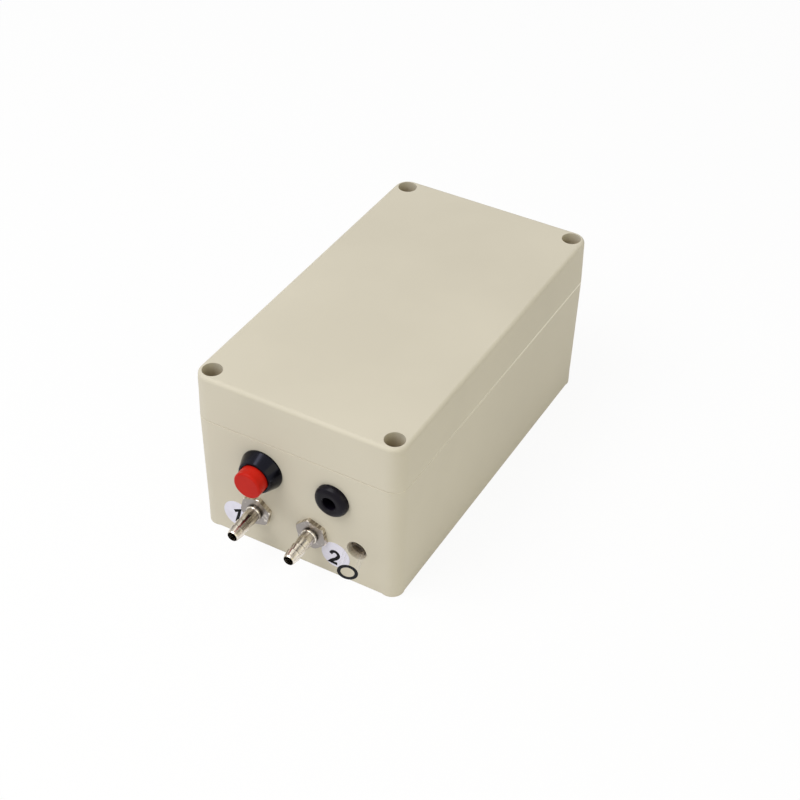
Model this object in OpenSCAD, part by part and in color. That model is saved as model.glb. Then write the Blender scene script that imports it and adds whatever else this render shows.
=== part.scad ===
// Milking vacuum pump in a two-part ABS box.
// X runs to the right seen from the front panel, Y runs to the back, Z is up.
// The origin is at the middle of the underside of the box.

/* [Box] */
// Length of the box from front panel to back
case_length = 160; // [158:1:190]
// Width of the box
case_width = 90; // [89:1:110]
// Height of the closed box
case_height = 75; // [73:0.5:90]
// Height of the joint between base and lid
seam_height = 54.5; // [53:0.5:58]
// Thickness of the moulded walls
wall = 3; // [2.6:0.1:3.2]
// Radius of the four upright corners
corner_radius = 6.5; // [6:0.1:8]
// Lean of each base wall over its height
base_draft = 1.04; // [0.6:0.02:1.2]
// Lean of each lid wall over its height
lid_draft = 0.3; // [0.1:0.05:0.5]
// Rounding of the top edge of the lid
lid_edge = 1.6; // [0.8:0.1:2.2]
// Rounding of the bottom edge of the base
base_edge = 0.8; // [0.4:0.1:1.2]
// Chamfer on both sides of the joint line
seam_chamfer = 0.3; // [0.1:0.05:0.5]
// Distance of each lid screw from the two nearest sides
screw_inset = 6; // [5.8:0.1:6.4]
// Diameter of the deep holes in the lid
counterbore_d = 8; // [7.4:0.1:8.4]
// Plastic left under each lid screw head
screw_floor = 3; // [2:0.5:5]

/* [Front panel] */
// Push-button, distance right of the middle
button_x = -14.6; // [-16:0.1:-13]
// Push-button, distance below the joint line
button_drop = 13.7; // [13:0.1:15]
// Power inlet, distance right of the middle
jack_x = 16.4; // [14:0.1:20]
// Power inlet, distance below the joint line
jack_drop = 14.55; // [13.5:0.05:16]
// Hose fitting 1, distance right of the middle
port_1_x = -18.1; // [-19:0.1:-17]
// Hose fitting 2, distance right of the middle
port_2_x = 7.1; // [6:0.1:8]
// Height of both hose fittings
port_z = 18.4; // [17.5:0.1:19.5]
// Exhaust tube, distance from the right side of the box
exhaust_inset = 18.6; // [18:0.1:19.5]
// Height of the exhaust tube
exhaust_z = 18; // [17.5:0.1:18.5]
// Number disc 1, distance right of the middle
label_1_x = -27.8; // [-29:0.1:-27.2]
// Number disc 2, distance left of the exhaust tube
label_2_inset = 9.4; // [8.8:0.1:10]
// Height of both number discs
label_z = 11; // [9:0.1:12]
// Diameter of the number discs
label_d = 12.5; // [10:0.5:13]

/* [Push-button] */
// Diameter of the bezel against the panel
bezel_d = 17.9; // [17:0.1:19]
// Diameter of the bezel at its mouth
bezel_mouth_d = 13.8; // [13.4:0.1:15]
// Height of the bezel
bezel_h = 5.85; // [4:0.05:7]
// Diameter of the red cap
cap_d = 11.8; // [11:0.1:11.9]
// How far the cap stands out past the bezel
cap_reach = 5.1; // [4.5:0.1:6]
// Travel of the cap
button_travel = 3; // [2:0.1:3]
// Diameter of the threaded bushing
bushing_d = 12; // [11.6:0.1:12.6]

/* [Power inlet] */
// Diameter of the round flange
jack_flange_d = 14.1; // [13.4:0.1:16]
// Height of the domed flange
jack_dome = 3.2; // [2.6:0.1:3.6]
// Diameter of the plug opening
jack_bore_d = 5.6; // [5:0.1:6]
// Diameter of the threaded barrel
jack_barrel_d = 11; // [10.5:0.1:11.5]

/* [Hose fittings] */
// Width of the hexagon across its flats
hex_af = 12.2; // [11:0.1:13]
// Thickness of the hexagon
hex_h = 1.9; // [1.5:0.1:3]
// Reach of the barb past the panel
barb_reach = 17.5; // [15:0.5:22]
// Largest diameter of the barb
barb_d = 5.9; // [5.6:0.1:6.1]
// Bore through the fitting
barb_bore_d = 4.1; // [3.5:0.1:4.4]
// Diameter of the threaded shank
shank_d = 8; // [7.4:0.1:8.4]

/* [Hoses] */
// Outside diameter of the silicone hoses
hose_d = 8.6; // [8:0.1:9]
// Outside diameter of the clear exhaust tube
exhaust_d = 8.1; // [7.8:0.1:8.4]
// Bore of the clear exhaust tube
exhaust_bore_d = 5.6; // [5.6:0.1:5.8]
// Reach of the exhaust tube past the panel
exhaust_reach = 11.2; // [8:0.2:20]
// Sideways bend of the outer end of the exhaust tube, in degrees
exhaust_curl = 17.4; // [12:0.2:20]

/* [Pump] */
// Place of the crank axis along the box, as a share of its length
pump_share = 0.665; // [0.66:0.001:0.68]
// Height of the crank axis
pump_z = 24; // [23.5:0.1:25]
// Diameter of the motor can
motor_d = 30; // [28:0.5:30.5]
// Clearance between the motor's terminals and the side wall
motor_gap = 3.7; // [2:0.1:5]
// Throw of the eccentric, half of the stroke
throw = 1.5; // [1:0.1:1.5]
// Width and height of the pump head
head_size = 32; // [31:0.5:33]

/* [Valve and board] */
// Place of the solenoid valve along the box, as a share of its length
valve_share = 0.2125; // [0.21:0.0005:0.222]
// Travel of the solenoid plunger
plunger_travel = 1.5; // [0.8:0.1:1.8]
// Width of the circuit board
board_width = 68; // [66:1:70]
// Height of the circuit board
board_height = 36; // [35:1:38]

/* [Hidden] */

$fn = 64;
// Clearance of a running fit, and of a screw in its hole
fit = 0.05;
// Clearance between parts that slide past each other
slack = 0.25;
// Extra length that carries a cut past a face
over = 1;

front_y = -case_length / 2;
screw_x = case_width / 2 - screw_inset;
screw_y = case_length / 2 - screw_inset;
exhaust_x = case_width / 2 - exhaust_inset;
label_2_x = exhaust_x - label_2_inset;
button_z = seam_height - button_drop;
jack_z = seam_height - jack_drop;
panel_tilt = atan(base_draft / seam_height);

// How far the outside of the base stands in at height z
function lean(z) = base_draft * (1 - z / seam_height);
// The y of the outside of the front panel at height z
function panel_y(z) = front_y + lean(z);

// Puts a child on the front panel: its Z points out of the box, its Y points up
module on_panel(x, z)
  translate([x, panel_y(z), z]) rotate([90 + panel_tilt, 0, 0]) children();
// Turn a child's Z to the front, the back, the right or the left
module to_front() rotate([90, 0, 0]) children();
module to_back() rotate([-90, 0, 0]) children();
module to_right() rotate([0, 90, 0]) children();
module to_left() rotate([0, -90, 0]) children();

// Points of a rounded edge: centre (r, z), from one angle to another
function arc(r, z, f, from, to, steps) =
  [for (i = [0 : steps]) let (a = from + (to - from) * i / steps) [r + f * cos(a), z + f * sin(a)]];

// Side of a moulded block from bottom to top: outer half width less insets, with edge roundings
function side_profile(r, h, insets, edges, steps) = concat(
  arc(r - insets[0] - edges[0], edges[0], edges[0], -90, 0, steps[0]),
  arc(r - insets[1] - edges[1], h - edges[1], edges[1], 0, 90, steps[1]));

// Rounded rectangular block with leaning sides and rounded top and bottom edges
module moulded_block(w, l, h, r, insets, edges = [0, 0], steps = [1, 1]) {
  side = side_profile(r, h, insets, edges, steps);
  half_w = w / 2 - r;
  half_l = l / 2 - r;
  for (x = [-half_w, half_w], y = [-half_l, half_l])
    translate([x, y, 0]) rotate_extrude() polygon(concat([[0, 0]], side, [[0, h]]));
  rotate([90, 0, 0]) linear_extrude(2 * half_l, center = true) bar_section(side, half_w);
  rotate([90, 0, 90]) linear_extrude(2 * half_w, center = true) bar_section(side, half_l);
}
module bar_section(side, half) {
  last = len(side) - 1;
  polygon(concat(
    [for (p = side) [p.x + half, p.y]],
    [for (i = [last : -1 : 0]) [-side[i].x - half, side[i].y]]));
}

// Flat plate with rounded corners, lying in XY
module rounded_plate(w, l, h, r) {
  translate([-w / 2 + r, -l / 2, 0]) cube([w - 2 * r, l, h]);
  translate([-w / 2, -l / 2 + r, 0]) cube([w, l - 2 * r, h]);
  for (x = [-w / 2 + r, w / 2 - r], y = [-l / 2 + r, l / 2 - r])
    translate([x, y, 0]) cylinder(h = h, r = r);
}

// Ring or tube standing on XY
module ring(r_out, r_in, h) {
  difference() {
    cylinder(h = h, r = r_out);
    translate([0, 0, -over]) cylinder(h = h + 2 * over, r = r_in);
  }
}

// Hexagon nut with turned corners
module hex_nut(af, bore, h) {
  difference() {
    intersection() {
      cylinder(h = h, r = af / sqrt(3), $fn = 6);
      cylinder(h = h, r1 = af / 2 + h, r2 = af / 2 + 0.35);
    }
    translate([0, 0, -over]) cylinder(h = h + 2 * over, r = bore);
  }
}

// Outline of a hose barb that points along +Z, root at z = 0
function barb_profile(r_big, r_small, pitch, count) = concat([[0, 0]],
  [for (i = [0 : count - 1], end = [0, 1])
    end == 0 ? [r_big, i * pitch] : [r_small, (i + 1) * pitch - (i == count - 1 ? 0.5 : 0)]],
  [[r_small - 0.3, count * pitch], [0, count * pitch]]);
module barb(r_big, r_small, pitch, count)
  rotate_extrude() polygon(barb_profile(r_big, r_small, pitch, count));

// Pan head screw, head up, seat at z = 0
module pan_screw(shank, head, head_h, length) {
  difference() {
    union() {
      cylinder(h = head_h, r1 = head / 2, r2 = head / 2 - 0.5);
      translate([0, 0, -length]) cylinder(h = length, r = shank / 2);
    }
    for (a = [0, 90])
      rotate([0, 0, a]) translate([-head / 4, -shank / 10, head_h / 3]) cube([head / 2, shank / 5, head_h]);
  }
}

// Round wire swept along a list of points, with one ring of corners at each point
function unit(v) = v / norm(v);
function heading(p, i) = unit(p[min(i + 1, len(p) - 1)] - p[max(i - 1, 0)]);
module swept_wire(points, r, sides, up) {
  last = len(points) - 1;
  corners = [for (i = [0 : last])
    let (t = heading(points, i), u = unit(cross(t, up)), v = cross(t, u))
    for (k = [0 : sides - 1]) points[i] + r * (cos(360 * k / sides) * u + sin(360 * k / sides) * v)];
  skin = [for (i = [0 : last - 1], k = [0 : sides - 1])
    let (a = i * sides + k, b = i * sides + (k + 1) % sides)
    each [[a, a + sides, b + sides], [a, b + sides, b]]];
  first_cap = [for (k = [0 : sides - 1]) k];
  last_cap = [for (k = [sides - 1 : -1 : 0]) last * sides + k];
  polyhedron(corners, concat([first_cap], skin, [last_cap]));
}

// Coil spring that fills a height along +Z
module coil_spring(r_mean, r_wire, h, turns) {
  steps = turns * 10;
  swept_wire([for (i = [0 : steps]) [
    r_mean * cos(36 * i), r_mean * sin(36 * i), 1.1 * r_wire + (h - 2.2 * r_wire) * i / steps]],
    r_wire, 5, [0, 0, 1]);
}

// Box base: leaning walls, corner posts, feet of the pump, valve and board

insert_d = 5.6;
insert_h = 8;
post_r = 4.9;
groove_w = 1.2;
groove_depth = 1;
groove_inset = (wall - groove_w) / 2;

// The two rings of the rim, as blocks with the same insets all round
module rim_block(inset, low, high)
  translate([0, 0, low])
    moulded_block(case_width - 2 * inset, case_length - 2 * inset, high - low,
      corner_radius - inset, [0, 0]);

module base_cavity() {
  h = seam_height - wall + over;
  translate([0, 0, wall])
    moulded_block(case_width - 2 * wall, case_length - 2 * wall, h,
      corner_radius - wall, [lean(wall), lean(wall + h)]);
}

module at_lid_screws() for (x = [-screw_x, screw_x], y = [-screw_y, screw_y]) translate([x, y, 0]) children();

panel_depth = wall + 2 * over;
module panel_hole(x, z, r)
  on_panel(x, z) translate([0, 0, -panel_depth]) cylinder(h = panel_depth + over, r = r);

module box_base() color("#cdc6b2") {
  difference() {
    union() {
      difference() {
        moulded_block(case_width, case_length, seam_height, corner_radius,
          [base_draft, 0], [base_edge, seam_chamfer], [3, 1]);
        base_cavity();
      }
      at_lid_screws() cylinder(h = seam_height, r = post_r);
      at_pump_feet() cylinder(h = foot_boss_top, r = foot_r);
      at_valve_feet() cylinder(h = valve_frame_bottom, r = foot_r);
      board_bosses();
    }
    at_lid_screws() translate([0, 0, seam_height - insert_h - 4]) cylinder(h = insert_h + 5, r = insert_d / 2 + fit);
    difference() {
      rim_block(groove_inset, seam_height - groove_depth, seam_height + over);
      rim_block(groove_inset + groove_w, seam_height - 2 * groove_depth, seam_height + 2 * over);
    }
    at_pump_feet() translate([0, 0, wall / 2]) cylinder(h = foot_boss_top, r = foot_screw_d / 2 + fit);
    at_valve_feet() translate([0, 0, wall / 2]) cylinder(h = valve_frame_bottom, r = foot_screw_d / 2 + fit);
    at_board_holes() translate([0, 0, -over]) cylinder(h = board_gap + over, r = foot_screw_d / 2 + fit);
    panel_hole(button_x, button_z, bushing_d / 2 + slack / 2);
    panel_hole(jack_x, jack_z, jack_barrel_d / 2 + slack / 2);
    panel_hole(port_1_x, port_z, shank_d / 2 + slack / 2);
    panel_hole(port_2_x, port_z, shank_d / 2 + slack / 2);
    panel_hole(exhaust_x, exhaust_z, exhaust_d / 2 + 0.2);
  }
}

// Lid: a deep cover with four counterbored posts and a tongue that drops inside the base

tongue_h = 3;
tongue_t = 1.5;
lid_h = case_height - seam_height;
lid_post_r = 5.6;

module box_lid() color("#d4cdba") {
  lip = wall + slack;
  difference() {
    union() {
      difference() {
        translate([0, 0, seam_height])
          moulded_block(case_width, case_length, lid_h, corner_radius,
            [0, lid_draft], [seam_chamfer, lid_edge], [1, 5]);
        translate([0, 0, seam_height + tongue_h])
          moulded_block(case_width - 2 * wall, case_length - 2 * wall, lid_h - wall - tongue_h,
            corner_radius - wall, [0, lid_draft]);
        rim_block(lip + tongue_t, seam_height - over, seam_height + tongue_h + over);
      }
      difference() {
        rim_block(lip, seam_height - tongue_h, seam_height);
        rim_block(lip + tongue_t, seam_height - tongue_h - over, seam_height + over);
        at_lid_screws() translate([0, 0, seam_height - 2 * tongue_h]) cylinder(h = 2 * tongue_h, r = post_r + slack);
      }
      at_lid_screws() translate([0, 0, seam_height]) cylinder(h = lid_h - wall, r = lid_post_r);
    }
    at_lid_screws() {
      translate([0, 0, seam_height + screw_floor]) cylinder(h = lid_h, r = counterbore_d / 2);
      translate([0, 0, seam_height - over]) cylinder(h = lid_h, r = lid_screw_d / 2 + slack);
    }
  }
}

// Cord seal that lies in the groove of the base rim
module lid_gasket() color("#3a3a38")
  difference() {
    rim_block(groove_inset + fit, seam_height - groove_depth, seam_height);
    rim_block(groove_inset + groove_w - fit, seam_height - 2 * groove_depth, seam_height + over);
  }

lid_screw_d = 4;
lid_screw_head_d = 7;
module lid_screws() color("#b9bcc0")
  at_lid_screws() translate([0, 0, seam_height + screw_floor])
    pan_screw(lid_screw_d, lid_screw_head_d, 2.6, screw_floor + insert_h + 1);

module thread_inserts() color("#c9a24a")
  at_lid_screws() translate([0, 0, seam_height - insert_h - 0.5])
    ring(insert_d / 2, lid_screw_d / 2 + fit, insert_h);

// Push-button switch. Heights are measured out from the face of the panel.

cap_front = bezel_h + cap_reach;
bore_floor = 0.8;
cap_bottom = bore_floor + button_travel + 0.4;
cap_roof = cap_front - 2.5;
cap_wall = 1.1;
cap_edge = 0.9;
stem_r = 2.2;
pin_r = 1.2;
bore_r = cap_d / 2 + 0.3;
shoulder = -8;
shoulder_t = 2;
body_back = -15;
bridge_t = 0.8;
bridge_top = shoulder - shoulder_t - 0.1;
spring_bore_r = 4.6;

module switch_body() color("#1a1a1c")
  on_panel(button_x, button_z) difference() {
    rotate_extrude() polygon([
      [0, body_back], [bushing_d / 2, body_back], [bushing_d / 2, 0], [bezel_d / 2, 0],
      [bezel_d / 2, 0.7], [bezel_mouth_d / 2 + 0.2, bezel_h - 0.25], [bezel_mouth_d / 2 - 0.1, bezel_h],
      [0, bezel_h]]);
    translate([0, 0, bore_floor]) cylinder(h = bezel_h, r = bore_r);
    translate([0, 0, shoulder]) cylinder(h = bezel_h - shoulder, r = spring_bore_r);
    translate([0, 0, body_back - over]) cylinder(h = bezel_h - body_back, r = stem_r + slack);
    translate([0, 0, body_back - over]) cylinder(h = shoulder - shoulder_t - body_back + over, r = spring_bore_r);
  }

module switch_nut() color("#c5c8cc")
  on_panel(button_x, button_z) translate([0, 0, -wall - 3]) hex_nut(bushing_d + 3, bushing_d / 2 + fit, 3);

module switch_cap() color("#c9332b")
  on_panel(button_x, button_z) rotate_extrude() polygon(concat(
    [[0, cap_front]],
    arc(cap_d / 2 - cap_edge, cap_front - cap_edge, cap_edge, 90, 0, 4),
    [[cap_d / 2, cap_bottom], [cap_d / 2 - cap_wall, cap_bottom], [cap_d / 2 - cap_wall, cap_roof],
     [stem_r, cap_roof], [stem_r, bridge_top], [pin_r, bridge_top], [pin_r, bridge_top - bridge_t],
     [0, bridge_top - bridge_t]]));

module switch_spring() color("#b9bcc0")
  on_panel(button_x, button_z) translate([0, 0, shoulder])
    coil_spring((stem_r + spring_bore_r) / 2, 0.3, cap_roof - shoulder, 7);

module switch_bridge() color("#b87840")
  on_panel(button_x, button_z) translate([0, 0, bridge_top - bridge_t]) ring(spring_bore_r - 0.8, pin_r + fit, bridge_t);

back_t = 2;
lug_x = 2.7;
lug_w = 0.8;
lug_h = 2.8;
module at_lugs() for (x = [-lug_x, lug_x]) translate([x - lug_w / 2, -lug_h / 2, 0]) children();

module switch_back() color("#7a4a2c")
  on_panel(button_x, button_z) difference() {
    translate([0, 0, body_back - back_t]) cylinder(h = back_t, r = bushing_d / 2 - 0.1);
    at_lugs() translate([-fit, -fit, body_back - back_t - over])
      cube([lug_w + 2 * fit, lug_h + 2 * fit, back_t + 2 * over]);
  }

contact_top = bridge_top - bridge_t - button_travel - 0.1;
module switch_lugs() color("#c9b26a")
  on_panel(button_x, button_z) at_lugs() translate([0, 0, body_back - back_t - 6])
    cube([lug_w, lug_h, contact_top - body_back + back_t + 6]);

// Round power inlet, its thread is held by a nut behind the panel

jack_back = -13;
jack_seat = -9;
jack_pin_r = 1.05;
jack_round = 2.5;
jack_lip = 0.4;
module jack_body() color("#17181a")
  on_panel(jack_x, jack_z) difference() {
    rotate_extrude() polygon(concat(
      [[0, jack_back], [jack_barrel_d / 2 - 0.8, jack_back], [jack_barrel_d / 2 - 0.8, jack_seat],
       [jack_barrel_d / 2, jack_seat], [jack_barrel_d / 2, 0], [jack_flange_d / 2, 0]],
      arc(jack_flange_d / 2 - jack_round, jack_dome - jack_round, jack_round, 0, 90, 6),
      [[jack_bore_d / 2 + jack_lip, jack_dome], [jack_bore_d / 2, jack_dome - jack_lip], [0, jack_dome - jack_lip]]));
    translate([0, 0, jack_seat]) cylinder(h = -jack_seat + 2 * jack_dome, r = jack_bore_d / 2);
    translate([0, 0, jack_back - over]) cylinder(h = 6, r = jack_pin_r + fit);
    translate([-1.5 - fit, 3 - fit, jack_back - over]) cube([3 + 2 * fit, 0.6 + 2 * fit, 4]);
  }

module jack_nut() color("#c5c8cc")
  on_panel(jack_x, jack_z) translate([0, 0, -wall - 2.5]) hex_nut(jack_barrel_d + 3, jack_barrel_d / 2 + fit, 2.5);

module jack_pin() color("#c5c8cc")
  on_panel(jack_x, jack_z) translate([0, 0, jack_back - 4])
    rotate_extrude() polygon([[0, 0], [jack_pin_r, 0], [jack_pin_r, 15.4], [jack_pin_r - 0.5, 16], [0, 16]]);

module jack_lug() color("#c9b26a")
  on_panel(jack_x, jack_z) translate([-1.5, 3, jack_back - 5]) cube([3, 0.6, 7.9]);

// Hose fittings through the panel: barb, hexagon, threaded shank and inner barb

shank_back = -9;
inner_barb = 10;
barb_pitch = 3.6;
barb_step = 0.55;
bead_r = 0.65;
bead_gap = 0.35;
washer_t = 1;
port_nut_h = 3.5;
// Height of the hoses behind the panel, where the leaning fittings point
hose_z = port_z + (-shank_back + inner_barb / 2) * sin(panel_tilt);

module port_fitting(turn) {
  plain = barb_reach - 3 * barb_pitch;
  difference() {
    union() {
      translate([0, 0, plain]) barb(barb_d / 2, barb_d / 2 - barb_step, barb_pitch, 3);
      cylinder(h = plain, r = barb_d / 2);
      rotate_extrude() polygon(concat([[0, hex_h + bead_gap]],
        arc(barb_d / 2 - 0.2, hex_h + bead_gap + bead_r, bead_r, -90, 90, 8), [[0, hex_h + bead_gap + 2 * bead_r]]));
      rotate([0, 0, turn]) intersection() {
        cylinder(h = hex_h, r = hex_af / sqrt(3), $fn = 6);
        cylinder(h = hex_h, r1 = hex_af / 2 + 2.2, r2 = hex_af / 2 + 0.5);
      }
      translate([0, 0, shank_back]) cylinder(h = -shank_back, r = shank_d / 2);
      rotate([180, 0, 0]) translate([0, 0, -shank_back]) barb(barb_d / 2, barb_d / 2 - 0.3, inner_barb / 3, 3);
    }
    translate([0, 0, shank_back - inner_barb - over])
      cylinder(h = barb_reach - shank_back + inner_barb + 2 * over, r = barb_bore_d / 2);
  }
}

hex_turn_1 = 16.4;
hex_turn_2 = 40.8;
module port_1_fitting() color("#b9b2a6") on_panel(port_1_x, port_z) port_fitting(hex_turn_1);
module port_2_fitting() color("#b9b2a6") on_panel(port_2_x, port_z) port_fitting(hex_turn_2);

module port_nut(x)
  on_panel(x, port_z) translate([0, 0, -wall - washer_t - port_nut_h])
    hex_nut(hex_af, shank_d / 2 + fit, port_nut_h);
module port_nuts() color("#c9c2b0") {
  port_nut(port_1_x);
  port_nut(port_2_x);
}

module port_washers() color("#3a3a38")
  for (x = [port_1_x, port_2_x])
    on_panel(x, port_z) translate([0, 0, -wall - washer_t]) ring(hex_af / 2 + 0.4, shank_d / 2 + fit, washer_t);

// Paper discs for the port numbers, each notched where it meets its fitting
label_t = 0.12;
module number_disc(x, port_x, turn)
  difference() {
    on_panel(x, label_z) cylinder(h = label_t, r = label_d / 2);
    on_panel(port_x, port_z) rotate([0, 0, turn])
      translate([0, 0, -over]) cylinder(h = 2 * over, r = hex_af / sqrt(3) + 0.1, $fn = 6);
  }
module label_1() color("#e4e2ee") number_disc(label_1_x, port_1_x, hex_turn_1);
module label_2() color("#e4e2ee") number_disc(label_2_x, port_2_x, hex_turn_2);

// Clear exhaust tube from the pump outlet through the panel, its free end curls to the right

exhaust_swing = -15;
exhaust_bends = 2;
exhaust_lead = 2;
module exhaust_bend(r, left, extra) {
  sphere(r);
  rotate([0, exhaust_curl / exhaust_bends, 0]) {
    short = exhaust_reach / 8;
    h = left == 1 ? exhaust_reach - exhaust_lead - (exhaust_bends - 1) * short + extra : short;
    cylinder(h = h, r = r);
    if (left > 1) translate([0, 0, short]) exhaust_bend(r, left - 1, extra);
  }
}
module exhaust_run(r, extra) {
  root = nipple_root_y - 1.3;
  straight = root - panel_y(exhaust_z) + exhaust_lead;
  translate([exhaust_x, root, exhaust_z]) to_front() {
    translate([0, 0, -extra]) cylinder(h = straight + extra, r = r);
    translate([0, 0, straight]) rotate([0, 0, exhaust_swing]) exhaust_bend(r, exhaust_bends, extra);
  }
}
module exhaust_tube() color("#e8ece8")
  difference() {
    exhaust_run(exhaust_d / 2, 0);
    exhaust_run(exhaust_bore_d / 2, over);
  }

// Diaphragm pump. Its own frame has the crank axis along X through the origin.

pump_x = (port_2_x + exhaust_x) / 2;
pump_y = front_y + pump_share * case_length;
case_half = 12;
case_front = 18.5;
case_back = 16;
case_drop = 16;
flange_t = 3;
cavity_r = 12;
foot_r = 3.5;
grommet_r = foot_r + 0.4;
grommet_gap = 1.4;
foot_reach = case_width / 2 - base_draft - wall - pump_x - grommet_r - grommet_gap;
foot_spread = 13;
foot_t = 3;
foot_screw_d = 3;
grommet_h = 2;
foot_boss_top = pump_z - case_drop - grommet_h;
shaft_r = 1.585;
bearing_r = 4;
bearing_h = 3;
can_wall = 1;
motor_front = -case_half;
end_cap_h = 4.5;
terminal_reach = 4;
motor_length = pump_x + case_width / 2 - lean(pump_z) - wall - motor_gap - case_half - end_cap_h - terminal_reach;
motor_back = motor_front - motor_length;

module in_pump() translate([pump_x, pump_y, pump_z]) children();
module at_pump_feet()
  for (x = [-foot_reach, foot_reach], y = [-foot_spread, foot_spread])
    translate([pump_x + x, pump_y + y, 0]) children();

module motor_can() color("#b4b7ba")
  in_pump() difference() {
    union() {
      translate([motor_back, 0, 0]) to_right() cylinder(h = motor_length, r = motor_d / 2);
      translate([motor_front - over, 0, 0]) to_right() cylinder(h = over + 2, r = bearing_r + 1);
    }
    translate([motor_back - over, 0, 0]) to_right() cylinder(h = motor_length - can_wall + over, r = motor_d / 2 - can_wall);
    translate([motor_front - 2 * over, 0, 0]) to_right() cylinder(h = 6, r = bearing_r + fit);
    at_motor_screws() translate([motor_front - 2 * over, 0, 0]) to_right()
      cylinder(h = 4, r = motor_screw_d / 2 + fit);
  }
motor_screw_y = 8;
motor_screw_d = 2.5;

module motor_end_cap() color("#2b2d30")
  in_pump() translate([motor_back - end_cap_h, 0, 0]) to_right() difference() {
    union() {
      cylinder(h = end_cap_h, r1 = motor_d / 2 - 1.5, r2 = motor_d / 2 - 0.5);
      cylinder(h = end_cap_h + 1.5, r = motor_d / 2 - can_wall - fit);
      translate([0, 0, -1]) cylinder(h = 2, r = bearing_r + 1.5);
    }
    translate([0, 0, end_cap_h - over]) cylinder(h = 4, r = motor_d / 2 - can_wall - 2);
    translate([0, 0, 0]) cylinder(h = 2 * end_cap_h, r = bearing_r + fit);
    for (y = [-terminal_y, terminal_y])
      translate([-1.4 - fit, y - 0.3 - fit, -over]) cube([2.8 + 2 * fit, 0.6 + 2 * fit, 2 * end_cap_h]);
  }
terminal_y = 9;

module motor_terminals() color("#c9b26a")
  in_pump() translate([motor_back - end_cap_h, 0, 0]) to_right()
    for (y = [-terminal_y, terminal_y]) translate([-1.4, y - 0.3, -terminal_reach]) cube([2.8, 0.6, terminal_reach + 2.5]);

magnet_t = 3.2;
magnet_l = motor_length - 10;
module motor_magnets() color("#3c3c40")
  in_pump() translate([motor_back + 5, 0, 0]) to_right()
    for (a = [25, 205]) rotate([0, 0, a])
      rotate_extrude(angle = 130) translate([motor_d / 2 - can_wall - fit - magnet_t, 0]) square([magnet_t, magnet_l]);

module motor_bearings() color("#c9a24a")
  in_pump() {
    translate([motor_front - can_wall, 0, 0]) to_right() ring(bearing_r, shaft_r + fit, bearing_h);
    translate([motor_back - end_cap_h, 0, 0]) to_right() ring(bearing_r, shaft_r + fit, bearing_h);
  }

// Carbon brushes either side of the commutator, on the inside of the end cap
commutator_r = 3.5;
module motor_brushes() color("#4a4642")
  in_pump() for (side = [-1, 1])
    translate([motor_back - over, side * (commutator_r + 1.6) - 1.5, -1.2]) cube([4, 3, 2.4]);

module motor_shaft() color("#c8cacc")
  in_pump() translate([motor_back - end_cap_h + 0.5, 0, 0]) to_right() cylinder(h = motor_length + end_cap_h + 15.5, r = shaft_r);

// Laminated stack with five slots, its windings and the commutator
armature_r = 9.8;
stack_l = motor_length - 14;
winding_turn = 2;
module motor_armature() color("#8a5a3a")
  in_pump() translate([motor_back + 3, 0, 0]) to_right() difference() {
    union() {
      translate([0, 0, 2 * winding_turn]) cylinder(h = stack_l, r = armature_r);
      translate([0, 0, winding_turn]) cylinder(h = stack_l + 2 * winding_turn, r = armature_r - 1.8);
      translate([0, 0, -winding_turn]) cylinder(h = 2 * winding_turn, r = commutator_r);
    }
    translate([0, 0, -winding_turn - over]) cylinder(h = motor_length, r = shaft_r + fit);
    for (a = [0 : 72 : 359]) rotate([0, 0, a])
      translate([5.5, -0.8, winding_turn + over]) cube([armature_r, 1.6, stack_l + 2 * winding_turn]);
  }

// Eccentric with its counterweight, pressed on the shaft
hub_r = 4;
race_r = 7.5;
race_w = 5;
weight_r = 9.5;
weight_t = 2.8;
hub_shoulder = 2;
module crank_hub() color("#9aa0a4")
  in_pump() difference() {
    union() {
      translate([-race_w / 2 - hub_shoulder - weight_t, 0, 0]) {
        to_right() cylinder(h = weight_t, r = 6);
        intersection() {
          to_right() cylinder(h = weight_t, r = weight_r);
          translate([-over, -2 * weight_r, -weight_r]) cube([weight_t + 2 * over, 2 * weight_r - 2, 2 * weight_r]);
        }
      }
      translate([-race_w / 2 - hub_shoulder, throw, 0]) to_right() {
        cylinder(h = hub_shoulder, r = hub_r + 0.8);
        cylinder(h = hub_shoulder + race_w + 1, r = hub_r);
      }
    }
    translate([-case_half, 0, 0]) to_right() cylinder(h = 2 * case_half, r = shaft_r + fit);
  }

module crank_bearing() color("#c8cacc")
  in_pump() translate([-race_w / 2, throw, 0]) to_right() difference() {
    ring(race_r, hub_r + fit, race_w);
    for (z = [-over, race_w - 0.4]) translate([0, 0, z]) ring(race_r - 0.9, hub_r + 1, over + 0.4);
  }

// Connecting rod from the eccentric to the diaphragm
rod_ring_r = 9.6;
rod_beam = 8;
disc_r = 7;
disc_back = 15;
disc_t = 2;
clamp_screw_r = 1.5;
clamp_screw_depth = 5;
module connecting_rod() color("#e9e4d6")
  in_pump() difference() {
    union() {
      translate([-race_w / 2, throw, 0]) to_right() cylinder(h = race_w, r = rod_ring_r);
      translate([-race_w / 2, -disc_back, -rod_beam / 2]) cube([race_w, disc_back - race_r, rod_beam]);
      translate([0, -disc_back, 0]) to_front() cylinder(h = disc_t, r = disc_r);
    }
    translate([-race_w, throw, 0]) to_right() cylinder(h = 2 * race_w, r = race_r + fit);
    translate([0, clamp_screw_depth - disc_back - disc_t, 0]) to_front()
      cylinder(h = 2 * clamp_screw_depth, r = clamp_screw_r + fit);
  }

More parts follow.
